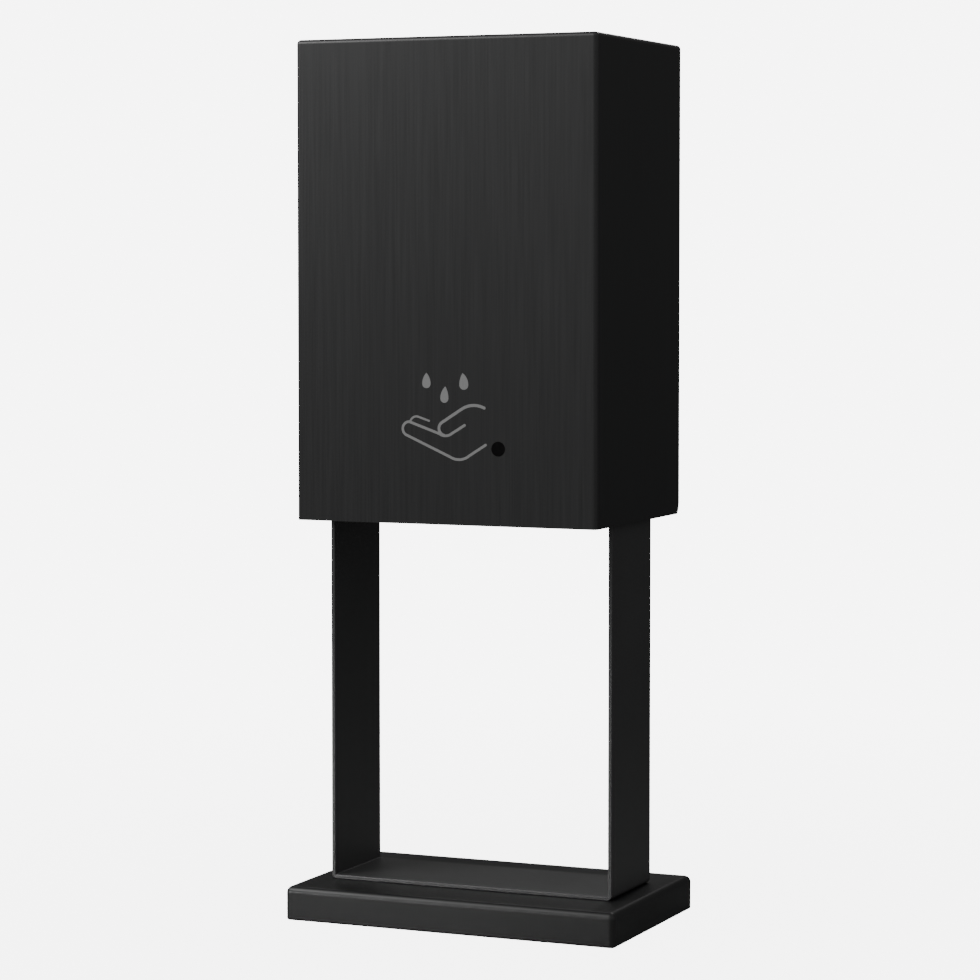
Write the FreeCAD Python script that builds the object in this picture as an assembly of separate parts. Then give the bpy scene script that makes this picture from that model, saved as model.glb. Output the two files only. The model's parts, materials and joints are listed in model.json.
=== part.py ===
import FreeCAD, Part
import math
import os

# Touch-free hand sanitiser dispenser on a table stand.
# Millimetres. X to the right, Y to the rear, Z up. The origin is the centre of the stand's underside.

# ---------------------------------------------------------------- driving sizes
# Case
case_w = 150.0
case_d = 107.0
case_h = 222.5
cover_t = 1.2             # folded sheet of the front cover
cover_bend_r = 2.0        # outside radius of its folds
cover_lip = 4.0           # bottom lip behind the front face
shelf_rise = 6.0          # chassis shelf above the case's bottom
chassis_t = 1.5           # sheet of the back plate, shelf and brackets

# Stand
hand_room = 173.3         # base top to case bottom
base_w = 166.0
base_d = 103.0
base_t = 16.0
base_corner_r = 2.5
base_top_r = 3.0
base_bottom_r = 1.0
strap_w = 50.0
strap_t = 2.0
strap_bend_r = 2.4        # outside radius of the strap's bends
strap_edge_r = 0.4        # its long edges
flange_len = 30.0         # strap ends folded in under the case
flange_corner_r = 2.0
foot_r = 9.0
foot_proud = 0.5
foot_recess = 1.5
foot_inset_x = 13.5       # foot centre in from the base's side
foot_inset_y = 13.0
stud_r = 2.5
stud_span = 90.0
stud_len = 13.3
stud_bore_r = 7.0
stud_bore_depth = 8.0
stud_nut_flats = 8.0
stud_nut_h = 4.0

# Screws
m3_r = 1.5
m3_head_r = 2.8
m3_head_h = 2.4
m3_len = 6.0
m4_r = 2.0
m4_len = 6.5
m4_head_r = 3.6
m4_head_h = 2.4
screw_gap = 0.25          # radial play of a screw in a plain hole

# Cover hinge and stops
hinge_r = 2.0
hinge_play = 0.05         # radial, pin in ear
hinge_inset = 5.0         # hinge line in from the case's rear and bottom faces
tilt_max = 32.0           # degrees
stop_r = 2.0
stop_reach = 34.0         # hinge line to stop pin
stop_angle = 75.0         # degrees above the hinge's forward line, cover shut
stop_play = 0.3
ear_gap = 0.7             # between ear and cover side
ear_top_margin = 7.5
ear_front_margin = 6.0
ear_rise = 1.5            # ear's lower edge above the case's bottom
ear_corner_r = 8.0
panel_corner_r = 4.0
panel_top_gap = 0.6       # rear panel below the cover's roof
pin_inset = 1.8           # hinge pin's end inside the ear
pin_chamfer = 0.5
stop_inset = 0.4          # stop pin's end inside the ear
notch_depth = 6.5         # shelf cut away in front of the hinge line
notch_width = 3.0

# Wall mounting holes
wall_hole_r = 2.75
wall_pitch = 100.0
wall_low_rise = 100.0     # lower pair above the case's bottom

# Hand symbol and indicator
symbol_depth = 0.25
symbol_proud = 0.04
lens_r = 3.35
lens_x = 27.0
lens_rise = 35.3          # above the case's bottom
lens_gap = 0.05

# Lock
lock_y_inset = 20.5       # from the case's rear face
lock_barrel_r = 9.0
lock_barrel_len = 12.6    # below the cover's top sheet
lock_flange_r = 11.0
lock_flange_h = 1.2
lock_nut_flats = 23.0
lock_nut_h = 3.0
core_r = 6.0
core_head_r = 7.0
core_play = 0.05
cam_len = 18.0
cam_w = 8.0
cam_t = 2.0
cam_hub_r = 6.0
keeper_gap = 1.3
keeper_h = 13.0

# Reservoir
tank_wall = 2.0
tank_side_gap = 3.0       # to the cover's inner side
tank_front_gap = 9.3
tank_rear_gap = 5.0
tank_top_gap = 42.8
tank_corner_r = 8.0
tank_edge_r = 5.0
gusset_h = 8.0
deck_rise = 82.5          # deck underside above the case's bottom
deck_screw_span = 56.0
tab_span = 100.0          # between the tank's two screw tabs
tab_w = 16.0
tab_above = 14.0          # tab's height above the tank
outlet_drop = 8.0         # outlet thread below the deck
outlet_r = 5.0
outlet_flange_r = 6.5
neck_x = -36.0
neck_y = 2.0
neck_r = 22.0
neck_wall = 3.0
neck_h = 16.0
cap_r = 25.5
cap_h = 19.0
cap_lug = 1.1
cap_gap = 0.3
cap_top_t = 2.6
cap_ribs = 24
seal_h = 1.6

# Pump
gear_module = 1.0
gear_teeth = 12
gear_angle = 25.0         # pressure angle, degrees
gear_addendum = 0.9
gear_dedendum = 1.15
gear_backlash = 0.15
gear_w = 7.4
gear_side_gap = 0.3
gear_tip_gap = 0.1
pump_x = 29.5
pump_rise = 45.0          # drive gear's axis above the case's bottom
pump_w = 28.0
pump_below = 12.0         # body below the drive gear's axis
pump_above = 12.0         # body above the idler gear's axis
pump_rear_wall = 8.0
lid_t = 4.0
spindle_r = 1.5
spindle_play = 0.06
port_bore_r = 1.6
spigot_r = 2.75
spigot_len = 7.0
motor_r = 12.2
motor_len = 30.8
motor_cap_t = 2.0
motor_boss_r = 5.0

# Tubes
tube_r = 4.0
tube_bend_r = 8.0

# Nozzle and sensors
nozzle_y = -6.0
nozzle_r = 5.0
nozzle_len = 21.0
nozzle_below = 2.0        # nozzle end below the case's bottom
chamber_r = 3.2
ball_r = 2.0
seat_r = 1.5
ball_gap = 0.3
spring_r = 1.2
spring_wire_r = 0.22
spring_turns = 5
tip_h = 4.0
tip_flange_r = 4.6
tip_bore_r = 1.1
sensor_x = 17.0
window_r = 3.4
window_t = 1.0
diode_r = 2.5
insert_w = 66.0           # nozzle plate's flange
insert_d = 23.0
insert_edge = 3.0
insert_flange_t = 1.5
insert_h = 3.0            # above the shelf's underside
insert_gap = 0.15         # to the hole in the shelf
sensor_board_t = 1.4
sensor_board_w = 48.0
sensor_board_d = 16.0

# Batteries, size C
cell_r = 13.1
cell_len = 50.0
cell_spacing = 0.8        # between neighbouring cells
cell_tip_r = 3.2
cell_tip_h = 1.5
cell_edge_r = 0.8
cell_rows = 2
box_wall = 1.4
box_side_gap = 3.2        # to the cover's inner side
box_rise = 16.0           # box bottom above the case's bottom
cell_gap = 0.4
door_t = 1.7
door_gap = 0.3
door_travel = 8.0
rail_lip = 2.0
contact_t = 0.8
contact_w = 14.0          # plate of a sprung contact
contact_root_r = 6.0      # the sprung cone, at its plate and at the cell
contact_end_r = 3.5
contact_wall = 1.0
door_contact_w = 10.0
door_contact_r = 2.5
grip_w = 24.0             # ribs on the door
grip_h = 1.1
grip_pitch = 2.5
grip_count = 3
grip_proud = 1.0
grip_drop = 10.0          # lowest rib below the box's top
box_foot_r = 5.0
box_foot_inset_x = 12.0
box_foot_inset_y = 14.0
cell_rear_room = 2.6      # for the contacts
cell_front_room = 3.0

# Circuit board
board_w = 64.0
board_h = 57.0
board_t = 1.6
board_left = 2.0
board_rise = 18.0
board_front_gap = 14.3    # board face to the cover's inner front
standoff_h = 2.9
standoff_wall = 1.3
board_screw_inset = 3.5
board_corner_r = 2.0
board_bracket_side = 2.0  # bracket wider than the board on each side
board_foot_len = 11.0     # bracket's foot in front of the board's face
switch_h = 5.5            # bodies in front of the board's face
plug_h = 6.0
button_housing = 4.8
button_r = 3.0
switch_travel = 3.0
button_travel = 0.8
lead_r = 0.9

# ---------------------------------------------------------------- places
base_top = foot_proud + base_t
case_bottom = base_top + hand_room
case_top = case_bottom + case_h
front = -case_d / 2
rear = case_d / 2
cover_side = case_w / 2 - cover_t            # inner face of the cover's side
cover_front = front + cover_t                # inner face of its front
cover_roof = case_top - cover_t              # inner face of its top
frame_side_gap = 2.3
frame_half = cover_side - frame_side_gap     # outer face of an upright
panel_y = rear - chassis_t                   # front face of the rear panel
shelf_z = case_bottom + shelf_rise           # underside of the shelf
shelf_top = shelf_z + chassis_t
flange_z = shelf_z - strap_t
panel_half = cover_side - ear_gap
ear_in = panel_half - chassis_t
hinge_y = rear - hinge_inset
hinge_z = case_bottom + hinge_inset
lens_z = case_bottom + lens_rise
lock_y = rear - lock_y_inset
deck_z = case_bottom + deck_rise
tank_floor = deck_z + chassis_t
tank_half = cover_side - tank_side_gap
tank_front = cover_front + tank_front_gap
tank_rear = panel_y - tank_rear_gap
tank_top = cover_roof - tank_top_gap
gear_r = gear_module * gear_teeth / 2
drive_z = case_bottom + pump_rise
idler_z = drive_z + 2 * gear_r
port_z = (drive_z + idler_z) / 2
cavity_d = gear_w + 2 * gear_side_gap
port_y = nozzle_y
cavity_front = port_y - cavity_d / 2
cavity_rear = port_y + cavity_d / 2
pump_rear = cavity_rear + pump_rear_wall
bracket_rear = pump_rear + chassis_t
motor_end = bracket_rear + motor_len
pump_left = pump_x - pump_w / 2
pump_right = pump_x + pump_w / 2
pump_bottom = drive_z - pump_below
pump_top = idler_z + pump_above
riser_x = pump_right + spigot_len + tube_bend_r + 0.5
lead_run_z = deck_z - 5.0
brace_top = lead_run_z - lead_r              # top edge of both inner brackets
board_y = cover_front + board_front_gap      # the board's front face
board_back = board_y + board_t
board_z = case_bottom + board_rise
brace_y = board_back + standoff_h            # front face of the board's bracket
box_left = -cover_side + box_side_gap
cell_pitch = 2 * cell_r + cell_spacing
box_inner_w = cell_rows * cell_pitch + cell_gap
box_right = box_left + box_inner_w + 2 * box_wall
box_z = case_bottom + box_rise
box_inner_z = box_z + box_wall
box_top = box_inner_z + box_inner_w + box_wall
box_inner_rear = panel_y - box_wall
cell_rear = box_inner_rear - cell_rear_room
cell_front = cell_rear - cell_len
box_front = cell_front - cell_front_room
nozzle_end = case_bottom - nozzle_below
insert_z = shelf_z - insert_flange_t
insert_top = shelf_z + insert_h
sensor_board_z = insert_top + 3.0


# ---------------------------------------------------------------- helpers
def vec(x, y, z):
    return FreeCAD.Vector(x, y, z)


X = vec(1, 0, 0)
Y = vec(0, 1, 0)
Z = vec(0, 0, 1)


def block(x, y, z):
    """A box between two limits on each axis."""
    return Part.makeBox(x[1] - x[0], y[1] - y[0], z[1] - z[0], vec(x[0], y[0], z[0]))


def rod(r, start, axis, length):
    """A cylinder from a point along an axis."""
    return Part.makeCylinder(r, length, start, axis)


def ring(r_out, r_in, start, axis, length):
    return rod(r_out, start, axis, length).cut(rod(r_in, start, axis, length))


def hexagon(flats, start, length):
    """An upright hexagonal prism, measured across its flats."""
    corner = flats / math.sqrt(3)
    points = []
    for i in range(7):
        a = math.radians(60 * i)
        points.append(start + vec(corner * math.cos(a), corner * math.sin(a), 0))
    return Part.Face(Part.makePolygon(points)).extrude(Z * length)


def join(shapes):
    whole = shapes[0]
    if len(shapes) > 1:
        whole = whole.multiFuse(shapes[1:])
    return whole.removeSplitter()


def edges_along(shape, axis, keep=None):
    """The straight edges that run along an axis and whose middle point passes the test."""
    found = []
    for edge in shape.Edges:
        if edge.Curve.TypeId != "Part::GeomLine":
            continue
        if abs(edge.tangentAt(edge.FirstParameter).dot(axis)) < 0.999:
            continue
        if keep is None or keep(edge.CenterOfMass):
            found.append(edge)
    return found


def edges_at_height(shape, z):
    return [e for e in shape.Edges if abs(e.BoundBox.ZMin - z) < 0.01 and abs(e.BoundBox.ZMax - z) < 0.01]


def edges_in_planes(shape, y):
    """The edges that lie wholly in one of the two planes this far in front of and behind the middle."""
    found = []
    for edge in shape.Edges:
        box = edge.BoundBox
        if box.YLength < 0.01 and abs(abs(box.YMin) - y) < 0.01:
            found.append(edge)
    return found


def soft_box(x, y, z, corner_r, edge_r):
    """A box with rounded upright corners and softer top and bottom edges."""
    shape = block(x, y, z)
    shape = shape.makeFillet(corner_r, edges_along(shape, Z))
    return shape.makeFillet(edge_r, edges_at_height(shape, z[0]) + edges_at_height(shape, z[1]))


def bent_wire(points, bend_r):
    """Straight runs between the points, joined by tangent arcs."""
    edges = []
    here = points[0]
    for before, corner, after in zip(points, points[1:], points[2:]):
        back = (before - corner).normalize()
        onward = (after - corner).normalize()
        half = back.getAngle(onward) / 2
        reach = bend_r / math.tan(half)
        start = corner + back * reach
        end = corner + onward * reach
        middle = corner + (back + onward).normalize() * (bend_r / math.sin(half) - bend_r)
        edges.append(Part.makeLine(here, start))
        edges.append(Part.Arc(start, middle, end).toShape())
        here = end
    edges.append(Part.makeLine(here, points[-1]))
    return Part.Wire(edges)


def bent_rod(points, bend_r, r):
    start = points[0]
    circle = Part.Wire([Part.makeCircle(r, start, points[1] - start)])
    return bent_wire(points, bend_r).makePipeShell([circle], True, False)


def bent_tube(points, bend_r, r_out, r_in):
    return bent_rod(points, bend_r, r_out).cut(bent_rod(points, bend_r, r_in))


def screw(point, direction, shank_r, shank_len, head_r, head_h):
    """A pan-head screw with a hexagon socket. The point is under the head, on the shank's side."""
    head = rod(head_r, point, direction * -1, head_h)
    rim = [e for e in head.Edges if (e.CenterOfMass - point).dot(direction) < -head_h + 0.01]
    head = head.makeFillet(head_h / 4, rim)
    socket = rod(head_r * 0.45, point - direction * head_h, direction, head_h * 0.6)
    return join([head.cut(socket), rod(shank_r, point, direction, shank_len)])


def m3(point, direction, length):
    return screw(point, direction, m3_r, length, m3_head_r, m3_head_h)


def m4(point, direction, length):
    return screw(point, direction, m4_r, length, m4_head_r, m4_head_h)


def group(shapes):
    return Part.makeCompound(shapes)


def mirrored(shape):
    """The shape and its mirror image on the other side."""
    return [shape, shape.mirror(vec(0, 0, 0), X)]


# ---------------------------------------------------------------- stand
stud_places = [(-stud_span / 2, 0), (stud_span / 2, 0)]
foot_places = [(sx * (base_w / 2 - foot_inset_x), sy * (base_d / 2 - foot_inset_y))
               for sx in (-1, 1) for sy in (-1, 1)]
flange_screw_x = frame_half - flange_len / 2 - 0.5
flange_screw_y = strap_w * 0.3
flange_places = [(sx * flange_screw_x, sy * flange_screw_y) for sx in (-1, 1) for sy in (-1, 1)]


def base_plate():
    plate = block((-base_w / 2, base_w / 2), (-base_d / 2, base_d / 2), (foot_proud, base_top))
    plate = plate.makeFillet(base_corner_r, edges_along(plate, Z))
    plate = plate.makeFillet(base_top_r, edges_at_height(plate, base_top))
    plate = plate.makeFillet(base_bottom_r, edges_at_height(plate, foot_proud))
    cuts = []
    for x, y in stud_places:
        cuts.append(rod(stud_r + screw_gap, vec(x, y, 0), Z, base_top + 1))
        cuts.append(rod(stud_bore_r, vec(x, y, 0), Z, foot_proud + stud_bore_depth))
    for x, y in foot_places:
        cuts.append(rod(foot_r, vec(x, y, 0), Z, foot_proud + foot_recess))
    return plate.cut(cuts)


def rubber_feet():
    feet = []
    for x, y in foot_places:
        foot = rod(foot_r, vec(x, y, 0), Z, foot_proud + foot_recess)
        feet.append(foot.makeFillet(foot_proud / 2, edges_at_height(foot, 0)))
    return group(feet)


def stand_frame():
    half_d = strap_w / 2
    inner = frame_half - strap_t
    outside = block((-frame_half, frame_half), (-half_d, half_d), (base_top, shelf_z))
    inside = block((-inner, inner), (-half_d, half_d), (base_top + strap_t, flange_z))
    outside = outside.makeFillet(strap_bend_r, edges_along(outside, Y))
    inside = inside.makeFillet(strap_bend_r - strap_t, edges_along(inside, Y))
    mouth = frame_half - flange_len
    opening = block((-mouth, mouth), (-half_d, half_d), (flange_z - 1, shelf_z + 1))
    frame = outside.cut([inside, opening])
    ends = edges_along(frame, Z, lambda c: abs(c.x) < mouth + 0.1 and c.z > flange_z)
    frame = frame.makeFillet(flange_corner_r, ends)
    frame = frame.makeFillet(strap_edge_r, edges_in_planes(frame, half_d))
    holes = [rod(m4_r + screw_gap, vec(x, y, flange_z - 1), Z, strap_t + 2) for x, y in flange_places]
    return frame.cut(holes)


def frame_studs():
    studs = []
    for x, y in stud_places:
        stud = rod(stud_r, vec(x, y, base_top - stud_len), Z, stud_len)
        studs.append(stud.makeChamfer(pin_chamfer, edges_at_height(stud, base_top - stud_len)))
    return group(studs)


def stud_nuts():
    nuts = []
    for x, y in stud_places:
        seat = vec(x, y, foot_proud + stud_bore_depth)
        washer = rod(stud_nut_flats * 0.7, seat - Z, Z, 1.0)
        body = hexagon(stud_nut_flats, seat - Z * stud_nut_h, stud_nut_h - 0.5)
        nuts.append(join([washer, body]).cut(rod(stud_r, seat - Z * stud_nut_h, Z, stud_nut_h)))
    return group(nuts)


def m4_screws():
    """Eight alike: frame flanges to shelf, battery box to shelf, tank tabs to rear panel."""
    screws = [m4(vec(x, y, flange_z), Z, m4_len) for x, y in flange_places]
    screws += [m4(vec(x, y, shelf_z), Z, m4_len) for x, y in box_feet]
    screws += [m4(vec(x, tank_rear, z), Y, m4_len) for x, z in tab_screws]
    return group(screws)


def clinch_nuts():
    return group([ring(m4_r + 1.8, m4_r, vec(x, y, shelf_top), Z, 2.6) for x, y in flange_places])


# ---------------------------------------------------------------- chassis
ear_outline_top = hinge_z + stop_reach + ear_top_margin
ear_front = hinge_y - stop_reach * math.cos(math.radians(stop_angle - tilt_max)) - ear_front_margin
hinge_notch_y = hinge_y - notch_depth
hinge_notch_x = ear_in - notch_width
wall_z = (case_bottom + wall_low_rise, case_bottom + wall_low_rise + wall_pitch)
shelf_front = cover_front + 1.0
insert_hole_x = insert_w / 2 - insert_edge * 2.5
insert_hole_y = insert_d / 2 - insert_edge
insert_screw_x = insert_w / 2 - insert_edge - 1.0
deck_screws = [(sx * deck_screw_span / 2, deck_z + 7.5) for sx in (-1, 1)]
keeper_z = cover_roof - lock_barrel_len - cam_t / 2 - 1.0
keeper_x = cam_len + 2.0
keeper_screw_x = keeper_x + 8.0
tab_screws = [(sx * tab_span / 2, tank_top + tab_above / 2) for sx in (-1, 1)]
bracket_feet = [(pump_left + 4.0, bracket_rear + 12.0), (pump_right - 4.0, bracket_rear + 12.0)]
board_feet = [(board_left + 12.0, board_y - 4.0), (board_left + board_w - 12.0, board_y - 4.0)]
box_feet = [(x, panel_y - box_foot_inset_y)
            for x in (box_left + box_foot_inset_x, box_right - box_foot_inset_x)]


def stop_point(angle):
    """Where the stop pin's axis is, at an angle above the hinge's forward line."""
    a = math.radians(angle)
    return vec(0, hinge_y - stop_reach * math.cos(a), hinge_z + stop_reach * math.sin(a))


def arc_slot():
    """The slot the stop pin runs in, cut through both ears."""
    half = stop_r + stop_play
    spare = math.degrees(0.35 / stop_reach)
    first = stop_point(stop_angle + spare)
    last = stop_point(stop_angle - tilt_max - spare)
    hub = vec(0, hinge_y, hinge_z)
    band = ring(stop_reach + half, stop_reach - half, hub, X, 1)
    far = stop_reach * 3
    wedge = Part.Face(Part.makePolygon([
        hub, hub + (first - hub) * 3, hub + vec(0, -far, far) * 0.9, hub + (last - hub) * 3, hub]))
    slot = band.common(wedge.extrude(X))
    slot = slot.fuse([rod(half, first, X, 1), rod(half, last, X, 1)])
    grow = FreeCAD.Matrix()
    grow.scale(2 * cover_side, 1, 1)
    grow.move(-cover_side, 0, 0)
    return slot.transformGeometry(grow)


def ear():
    """The right-hand ear, which carries the hinge and the stop slot."""
    low = case_bottom + ear_rise
    outline = [(rear, low), (hinge_notch_y, low), (hinge_notch_y, shelf_z), (ear_front, shelf_z),
               (ear_front, ear_outline_top), (rear, ear_outline_top)]
    points = [vec(ear_in, y, z) for y, z in outline + outline[:1]]
    plate = Part.Face(Part.makePolygon(points)).extrude(X * chassis_t)
    front_top = edges_along(plate, X, lambda c: c.y < ear_front + 1 and c.z > ear_outline_top - 1)
    return plate.makeFillet(ear_corner_r, front_top)


def back_plate():
    low = case_bottom + ear_rise
    top = cover_roof - panel_top_gap
    panel = block((-panel_half, panel_half), (panel_y, rear), (low, top))
    panel = panel.makeFillet(panel_corner_r, edges_along(panel, Y, lambda c: c.z > top - 1))
    shelf = block((-ear_in, ear_in), (shelf_front, panel_y), (shelf_z, shelf_top))
    notch = block((hinge_notch_x, ear_in), (hinge_notch_y, panel_y), (shelf_z, shelf_top))
    shelf = shelf.cut(mirrored(notch))
    plate = join([panel, shelf] + mirrored(ear()))
    cuts = [arc_slot()]
    cuts.append(rod(hinge_r + hinge_play, vec(-case_w / 2, hinge_y, hinge_z), X, case_w))
    for z in wall_z:
        for x in (-wall_pitch / 2, wall_pitch / 2):
            cuts.append(rod(wall_hole_r, vec(x, panel_y - 1, z), Y, chassis_t + 2))
    for x, z in deck_screws + [(keeper_screw_x, keeper_z)] + tab_screws:
        cuts.append(rod(m4_r, vec(x, panel_y - 1, z), Y, chassis_t + 2))
    for x, y in flange_places:
        cuts.append(rod(m4_r + screw_gap, vec(x, y, shelf_z - 1), Z, chassis_t + 2))
    for x, y in bracket_feet + board_feet:
        cuts.append(rod(m4_r, vec(x, y, shelf_z - 1), Z, chassis_t + 2))
    for x, y in box_feet:
        cuts.append(rod(m4_r + screw_gap, vec(x, y, shelf_z - 1), Z, chassis_t + 2))
    for x in (-insert_screw_x, insert_screw_x):
        cuts.append(rod(m3_r, vec(x, nozzle_y, shelf_z - 1), Z, chassis_t + 2))
    half_x = insert_hole_x + insert_gap
    half_y = insert_hole_y + insert_gap
    cuts.append(block((-half_x, half_x), (nozzle_y - half_y, nozzle_y + half_y),
                      (shelf_z - 1, shelf_top + 1)))
    return plate.cut(cuts)


# ---------------------------------------------------------------- front cover
def rear_corner(half_width):
    """What is left of the sides' lower rear corners, so that none of it passes the rear plane in the tilt."""
    a = math.radians(tilt_max)
    heel = (1 - math.sin(a)) / math.cos(a)
    outline = [(0, 0), (1, 0), (math.cos(a), -math.sin(a)), (heel, -1), (0, -1), (0, 0)]
    points = [vec(-half_width, hinge_y + y * hinge_inset, hinge_z + z * hinge_inset) for y, z in outline]
    return Part.Face(Part.makePolygon(points)).extrude(X * 2 * half_width)


def front_cover():
    far = case_w
    outside = block((-case_w / 2, case_w / 2), (front, rear), (case_bottom, case_top))
    folds = edges_along(outside, Z, lambda c: c.y < 0)
    folds += edges_along(outside, X, lambda c: c.y < 0 and c.z > case_top - 1)
    folds += edges_along(outside, Y, lambda c: c.z > case_top - 1)
    outside = outside.makeFillet(cover_bend_r, folds)
    inside = block((-cover_side, cover_side), (cover_front, far), (case_bottom - far, cover_roof))
    folds = edges_along(inside, Z, lambda c: c.y < 0)
    folds += edges_along(inside, X, lambda c: c.y < 0 and c.z > case_bottom)
    folds += edges_along(inside, Y, lambda c: c.z > case_bottom)
    inside = inside.makeFillet(cover_bend_r - cover_t, folds)
    shell = outside.cut(inside)
    lip = block((-cover_side, cover_side), (cover_front, front + cover_lip),
                (case_bottom, case_bottom + cover_t))
    shell = join([shell, lip])
    corner = block((-far, far), (hinge_y, far), (case_bottom - far, hinge_z)).cut(rear_corner(far))
    lock_hole = rod(lock_barrel_r + lens_gap, vec(0, lock_y, cover_roof - 1), Z, cover_t + 2)
    lens_hole = rod(lens_r + lens_gap, vec(lens_x, front - 1, lens_z), Y, cover_t + 2)
    pocket = symbol_solids(symbol_depth)
    return shell.cut([corner, lock_hole, lens_hole] + pocket)


def hinge_pins():
    inner = ear_in - pin_inset
    pin = rod(hinge_r, vec(inner, hinge_y, hinge_z), X, cover_side - inner)
    tip = [e for e in pin.Edges if e.CenterOfMass.x < inner + 0.1]
    return group(mirrored(pin.makeChamfer(pin_chamfer, tip)))


def stop_pins():
    place = stop_point(stop_angle)
    inner = ear_in - stop_inset
    pin = rod(stop_r, vec(inner, place.y, place.z), X, cover_side - inner)
    return group(mirrored(pin))


def indicator_lens():
    centre = vec(lens_x, front, lens_z)
    face = rod(lens_r, centre, Y, cover_t)
    rim = rod(lens_r + 1.3, centre + Y * cover_t, Y, 0.6)
    return join([face, rim])


def on_front(x, rise):
    """A point on the case's front face, by its height above the case's bottom."""
    return vec(x, front, case_bottom + rise)


def line(a, b):
    return Part.makeLine(on_front(*a), on_front(*b))


def arc(a, b, c):
    return Part.Arc(on_front(*a), on_front(*b), on_front(*c)).toShape()


def stroke(edges, width):
    """A band of even width along a path, with round ends."""
    return Part.Wire(edges).makeOffset2D(width / 2, 0, True, False, False)


def drop(tip, centre, r):
    """A drop: a half circle below, and two arcs that rise to the tip."""
    rise = tip[1] - centre[1]
    sides = []
    for side in (-1, 1):
        run = side * (tip[0] - centre[0]) * -1 + r
        big_r = (run * run + rise * rise) / (2 * run)
        half = math.asin(rise / big_r) / 2
        hub_x = centre[0] + side * (r - big_r)
        middle = (hub_x + side * big_r * math.cos(half), centre[1] + big_r * math.sin(half))
        sides.append(((centre[0] + side * r, centre[1]), middle))
    left, right = sides
    bottom = (centre[0], centre[1] - r)
    edges = [arc(tip, left[1], left[0]), arc(left[0], bottom, right[0]), arc(right[0], right[1], tip)]
    return Part.Face(Part.Wire(edges))


def symbol_faces():
    """An open hand, palm up, below three drops."""
    palm = stroke([
        line((20.8, 37.0), (12.8, 32.0)),
        arc((12.8, 32.0), (8.0, 30.1), (3.2, 31.2)),
        line((3.2, 31.2), (-19.0, 40.9)),
        arc((-19.0, 40.9), (-20.6, 44.2), (-17.2, 46.9)),
        line((-17.2, 46.9), (-2.2, 41.7)),
        arc((-2.2, 41.7), (1.0, 40.8), (3.4, 41.5)),
        line((3.4, 41.5), (10.4, 45.8)),
    ], 1.25)
    thumb = stroke([
        arc((0.2, 41.0), (-2.4, 43.8), (-1.2, 46.7)),
        line((-1.2, 46.7), (9.2, 53.3)),
        arc((9.2, 53.3), (14.6, 54.9), (20.1, 53.8)),
    ], 1.4)
    finger = stroke([
        arc((-16.8, 47.1), (-15.6, 48.8), (-13.2, 49.4)),
        line((-13.2, 49.4), (-7.4, 47.5)),
    ], 1.0)
    drops = [drop((-8.7, 69.5), (-8.7, 64.5), 2.1),
             drop((0.8, 63.4), (0.3, 57.9), 2.05),
             drop((9.3, 69.6), (10.0, 64.2), 2.25)]
    return [palm, thumb, finger], drops


def symbol_solids(depth, proud=0.0):
    hand, drops = symbol_faces()
    shift = vec(0, -proud, 0)
    bands = []
    for face in hand + drops:
        face = face.translated(shift)
        bands.append(face.extrude(Y * (depth + proud)))
    return [join(bands[:len(hand)])] + bands[len(hand):]


def hand_symbol():
    return group(symbol_solids(symbol_depth, symbol_proud))


# ---------------------------------------------------------------- lock
cam_z = cover_roof - lock_barrel_len - 0.5 - cam_t
lock_axis = vec(0, lock_y, 0)


def lock_body():
    barrel = rod(lock_barrel_r, lock_axis + Z * (cover_roof - lock_barrel_len), Z,
                 lock_barrel_len + cover_t)
    flange = rod(lock_flange_r, lock_axis + Z * case_top, Z, lock_flange_h)
    flange = flange.makeFillet(0.5, edges_at_height(flange, case_top + lock_flange_h))
    body = join([barrel, flange])
    bore = rod(core_r + core_play, lock_axis + Z * cam_z, Z, case_top)
    seat = rod(core_head_r + core_play, lock_axis + Z * (case_top - 0.4), Z, 10)
    return body.cut([bore, seat])


def lock_nut():
    start = lock_axis + Z * (cover_roof - lock_nut_h)
    return hexagon(lock_nut_flats, start, lock_nut_h).cut(rod(lock_barrel_r, start, Z, lock_nut_h))


def lock_core():
    bottom = cover_roof - lock_barrel_len - 0.2
    top = case_top + lock_flange_h - 0.1
    core = rod(core_r, lock_axis + Z * bottom, Z, top - bottom)
    head = rod(core_head_r, lock_axis + Z * (case_top - 0.1), Z, top - case_top + 0.1)
    neck = rod(core_r / 2, lock_axis + Z * (cam_z - 1.2), Z, bottom - cam_z + 1.2)
    rivet = rod(core_r / 2 + 1.2, lock_axis + Z * (cam_z - 1.2), Z, 1.2)
    keyway = block((-0.7, 0.7), (lock_y - 3.5, lock_y + 3.5), (top - 5.0, top + 1))
    return join([core, head, neck, rivet]).cut(keyway)


def lock_cam():
    arm = block((-cam_w / 2, cam_w / 2), (lock_y, lock_y + cam_len), (cam_z, cam_z + cam_t))
    arm = arm.makeFillet(2.0, edges_along(arm, Z, lambda c: c.y > lock_y + 1))
    hub = rod(cam_hub_r, lock_axis + Z * cam_z, Z, cam_t)
    return join([arm, hub]).cut(rod(core_r / 2, lock_axis + Z * cam_z, Z, cam_t))


def lock_keeper():
    z = (keeper_z - keeper_h / 2, keeper_z + keeper_h / 2)
    hook_rear = lock_y - cam_w / 2 - keeper_gap
    hook = block((cam_len - 5.5, keeper_x + chassis_t), (hook_rear - chassis_t, hook_rear), z)
    arm = block((keeper_x, keeper_x + chassis_t), (hook_rear - chassis_t, panel_y), z)
    foot = block((keeper_x, keeper_x + 14.0), (panel_y - chassis_t, panel_y), z)
    hole = rod(m4_r + screw_gap, vec(keeper_screw_x, panel_y - 5, keeper_z), Y, 10)
    return join([hook, arm, foot]).cut(hole)


# ---------------------------------------------------------------- reservoir
neck_axis = vec(neck_x, neck_y, 0)
neck_top = tank_top + neck_h
outlet_axis = vec(riser_x, port_y, 0)


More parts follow.
